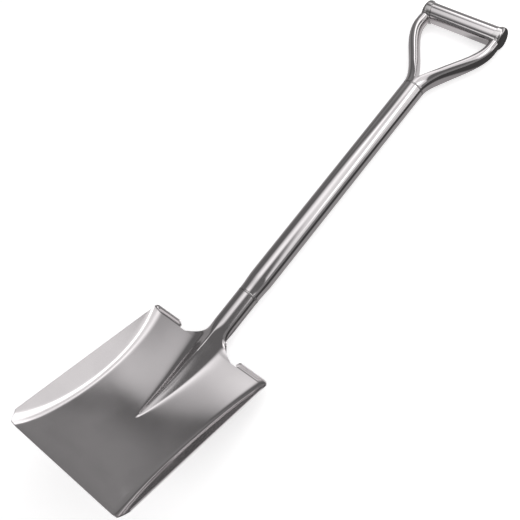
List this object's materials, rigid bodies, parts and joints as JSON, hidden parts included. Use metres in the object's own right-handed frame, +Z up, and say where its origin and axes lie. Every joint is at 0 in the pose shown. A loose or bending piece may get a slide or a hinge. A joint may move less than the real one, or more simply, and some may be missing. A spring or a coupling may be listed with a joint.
{
  "type": "square-mouth shovel",
  "caption": "All-steel square-mouth shovel with a dished, walled blade, a welded tube shaft and a closed D-shaped handle with a tube grip.",
  "frame": {"origin": "middle of the underside of the bounding box, with the shovel lying on the ground, hollow side up", "axes": "+Y along the shaft from the blade to the grip, +Z up, +X to the right of a user who holds the grip and looks at the blade from above"},
  "size_m": [0.2248, 0.9572, 0.1328],
  "materials": {
    "polished_steel": "polished stainless sheet",
    "polished_tube": "polished stainless tube",
    "ground_weld": "ground and polished weld",
    "cap_steel": "polished pressed steel"
  },
  "bodies": {
    "root": {"blade": "polished_steel", "neck_strap": "polished_steel", "neck_seam_left": "ground_weld", "neck_seam_right": "ground_weld", "lower_weld": "ground_weld", "shaft_tube": "polished_tube", "upper_weld": "ground_weld", "yoke_arm_left": "polished_tube", "yoke_arm_right": "polished_tube", "grip_tube": "polished_tube", "grip_cap_left": "cap_steel", "grip_cap_right": "cap_steel", "grip_button_left": "ground_weld", "grip_button_right": "ground_weld"}
  },
  "joints": []
}
